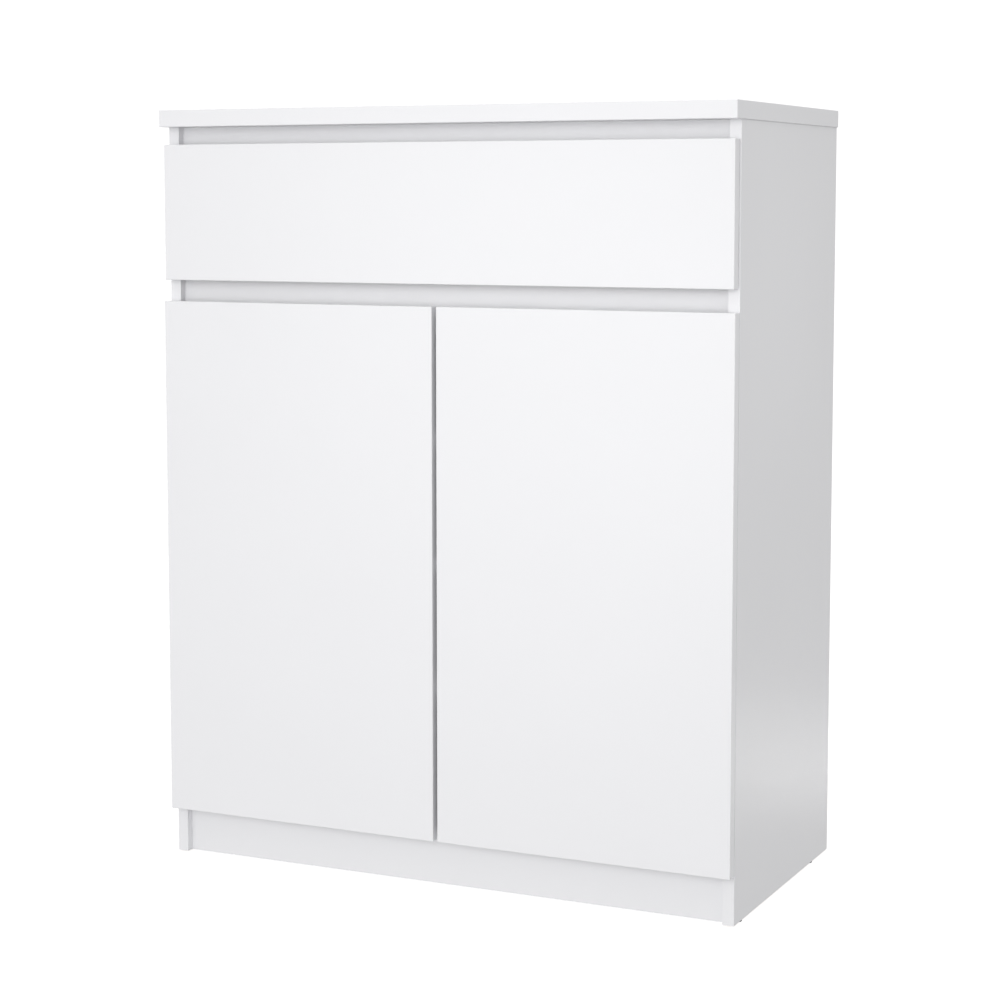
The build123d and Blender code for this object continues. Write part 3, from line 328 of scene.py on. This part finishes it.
ALL_EDGES = ("-X", "+X", "-Z", "+Z")
finish = {}
finish["top_panel"] = board("top_panel", "Z", ("-X", "+X", "-Y", "+Y"))
for side in ("left", "right"):
    finish[side + "_side_panel"] = board(side + "_side_panel", "X", ("-Y",))
    finish[side + "_door"] = board(side + "_door", "Y", ALL_EDGES)
    finish[f"drawer_{side}_side"] = board(f"drawer_{side}_side", "X", ("-Z", "+Z"), 0.42, 800.0)
finish["base_panel"] = board("base_panel", "Z", ("-Y",))
finish["middle_panel"] = board("middle_panel", "Z", ())
finish["upper_grip_rail"] = board("upper_grip_rail", "Y", ("-Z",))
finish["middle_grip_rail"] = board("middle_grip_rail", "Y", ("-Z", "+Z"))
finish["plinth_board"] = board("plinth_board", "Y", ("-Z",))
for n in ("lower_shelf", "middle_shelf", "upper_shelf"):
    finish[n] = board(n, "Z", ("-Y",))
finish["drawer_front"] = board("drawer_front", "Y", ALL_EDGES)
finish["drawer_back"] = board("drawer_back", "Y", ("+Z",), 0.42, 800.0)
finish["back_left_leaf"] = hardboard("back_left_leaf", "Y", "+")
finish["back_right_leaf"] = hardboard("back_right_leaf", "Y", "+")
finish["drawer_bottom"] = hardboard("drawer_bottom", "Z", "-")

nickel = plated("nickel", (0.70, 0.685, 0.65), 0.36, 0.10, (1.0, 1.0, 0.35))
zinc = plated("die_cast_zinc", (0.60, 0.605, 0.62), 0.40, 0.22)
steel = plated("bright_zinc_steel", (0.66, 0.665, 0.675), 0.38, 0.14)
epoxy = enamel("white_epoxy", (0.82, 0.82, 0.81), 0.36)
nylon = moulded("natural_nylon", (0.82, 0.81, 0.77), 0.40, 900.0, 0.25)
strip = moulded("white_strip", (0.80, 0.80, 0.80), 0.36, 1100.0)
black = moulded("black_glide", (0.012, 0.012, 0.013), 0.50, 1200.0)
beech = beech_wood()
pad = clear_pad()
by_slot = {"zinc": zinc, "nickel": nickel, "steel": steel, "white_steel": epoxy, "nylon": nylon,
           "white_plastic": strip, "black_plastic": black, "beech": beech, "clear_rubber": pad}
slot_of = {s["node"]: s["material_slot"] for s in frame["record"]["subparts"]}
for name, ob in NODES.items():
    ob.data.materials.clear()
    ob.data.materials.append(finish[name] if name in finish else by_slot[slot_of[name]])

# ---------------------------------------------------------------- floor, light, camera

R = 30.0


def ground(name, level, colour, glow):
    """A wide pale floor sheet."""
    mesh = bpy.data.meshes.new(name)
    mesh.from_pydata([(-R, -R, level), (R, -R, level), (R, R, level), (-R, R, level)], [], [(0, 1, 2, 3)])
    ob = bpy.data.objects.new(name, mesh)
    scene.collection.objects.link(ob)
    m, nt, shader = make(name)
    shader.inputs["Base Color"].default_value = (colour, colour, colour, 1.0)
    shader.inputs["Roughness"].default_value = 0.9
    shader.inputs["Specular IOR Level"].default_value = 0.0
    shader.inputs["Emission Color"].default_value = (1.0, 1.0, 1.0, 1.0)
    shader.inputs["Emission Strength"].default_value = glow
    mesh.materials.append(m)
    ob.visible_diffuse = False
    ob.visible_shadow = False
    return ob


# the floor as seen, bright enough to merge with the backdrop, and the dimmer floor that the satin sides mirror
floor = ground("floor", 0.0, 0.34, 0.86)
floor.visible_glossy = False
mirrored = ground("mirrored_floor", -0.0002, 0.50, 0.24)
mirrored.visible_camera = False

# soft boxes, name: (watts, place, aimed at, width, height)
LAMPS = {
    "left": (4.97, (-1.1, -2.9, 0.9), (0.1, -0.2, 0.85), 0.9, 0.9),
    "far": (54.0, (0.2, -5.0, 1.6), (0.0, 0.0, 0.6), 3.0, 3.0),
    "low_front": (3.09, (0.2, -2.4, 0.3), (0.0, -0.2, 0.4), 2.4, 0.5),
    "overhead": (8.89, (0.0, -0.3, 2.9), (0.0, -0.1, 0.9), 2.6, 2.6),
}
# soft-edged spots, name: (watts, place, aimed at, cone, radius): a glow on the fronts and on the right-hand side, and
# pools on the floor behind the right-hand side, which mirrors them
SPOTS = {
    "glow": (21.6, (0.60, -2.8, 1.4), (0.22, -0.2, 0.70), 0.60, 0.30),
    "side_glow": (13.1, (2.6, -0.9, 1.2), (0.4, -0.05, 0.76), 0.28, 0.20),
    "far_pool": (232.0, (0.95, 1.3, 2.0), (0.72, 0.85, 0.0), 0.30, 0.10),
    "near_pool": (276.0, (0.95, 1.0, 2.0), (0.66, 0.55, 0.0), 0.26, 0.10),
}
WORLD_UP, WORLD_DOWN = 0.794, 0.502
UNMIRRORED = ("far", "glow")                  # no hot patch on the fronts when they are faced squarely

for name, (watts, at, aim, cone, radius) in SPOTS.items():
    lamp = bpy.data.lights.new(name, "SPOT")
    lamp.energy = watts
    lamp.spot_size = cone
    lamp.spot_blend = 1.0
    lamp.shadow_soft_size = radius
    ob = bpy.data.objects.new(name, lamp)
    ob.location = at
    ob.rotation_mode = "QUATERNION"
    ob.rotation_quaternion = (Vector(aim) - Vector(at)).to_track_quat("-Z", "Y")
    ob.visible_camera = False
    ob.visible_glossy = name not in UNMIRRORED
    scene.collection.objects.link(ob)

for name, (watts, at, aim, w, h) in LAMPS.items():
    lamp = bpy.data.lights.new(name, "AREA")
    lamp.shape = "RECTANGLE"
    lamp.size, lamp.size_y = w, h
    lamp.energy = watts
    ob = bpy.data.objects.new(name, lamp)
    ob.location = at
    ob.rotation_mode = "QUATERNION"
    ob.rotation_quaternion = (Vector(aim) - Vector(at)).to_track_quat("-Z", "Y")
    ob.visible_camera = False
    ob.visible_glossy = name not in UNMIRRORED
    scene.collection.objects.link(ob)

world = bpy.data.worlds.new("studio")
scene.world = world
world.use_nodes = True
nt = world.node_tree
nt.nodes.clear()
out = nt.nodes.new("ShaderNodeOutputWorld")
air = nt.nodes.new("ShaderNodeBackground")
backdrop = nt.nodes.new("ShaderNodeBackground")
air.inputs["Color"].default_value = (1.0, 1.0, 1.0, 1.0)
backdrop.inputs["Color"].default_value = (1.0, 1.0, 1.0, 1.0)
backdrop.inputs["Strength"].default_value = 1.1
pick = nt.nodes.new("ShaderNodeMixShader")
ray = nt.nodes.new("ShaderNodeLightPath")
tc = nt.nodes.new("ShaderNodeTexCoord")
sep = nt.nodes.new("ShaderNodeSeparateXYZ")
nt.links.new(tc.outputs["Generated"], sep.inputs[0])
put(nt, air.inputs["Strength"], span(nt, sep.outputs[2], -0.25, 0.25, WORLD_DOWN, WORLD_UP, True))
nt.links.new(ray.outputs["Is Camera Ray"], pick.inputs[0])
nt.links.new(air.outputs[0], pick.inputs[1])
nt.links.new(backdrop.outputs[0], pick.inputs[2])
nt.links.new(pick.outputs[0], out.inputs["Surface"])

YAW, PITCH = math.radians(25.1504), math.radians(5.635)
camera = bpy.data.objects.new("camera", bpy.data.cameras.new("camera"))
camera.data.lens = 84.118
camera.data.sensor_width = 36.0
camera.data.shift_y = -0.07
camera.data.clip_start, camera.data.clip_end = 0.05, 100.0
camera.location = (1.31669, -2.80374, 0.88156)
ahead = Vector((-math.sin(YAW) * math.cos(PITCH), math.cos(YAW) * math.cos(PITCH), -math.sin(PITCH)))
camera.rotation_mode = "QUATERNION"
camera.rotation_quaternion = ahead.to_track_quat("-Z", "Y")
scene.collection.objects.link(camera)
scene.camera = camera

scene.view_settings.view_transform = "Standard"
scene.view_settings.look = "None"
scene.view_settings.exposure = 0.0
scene.view_settings.gamma = 1.0
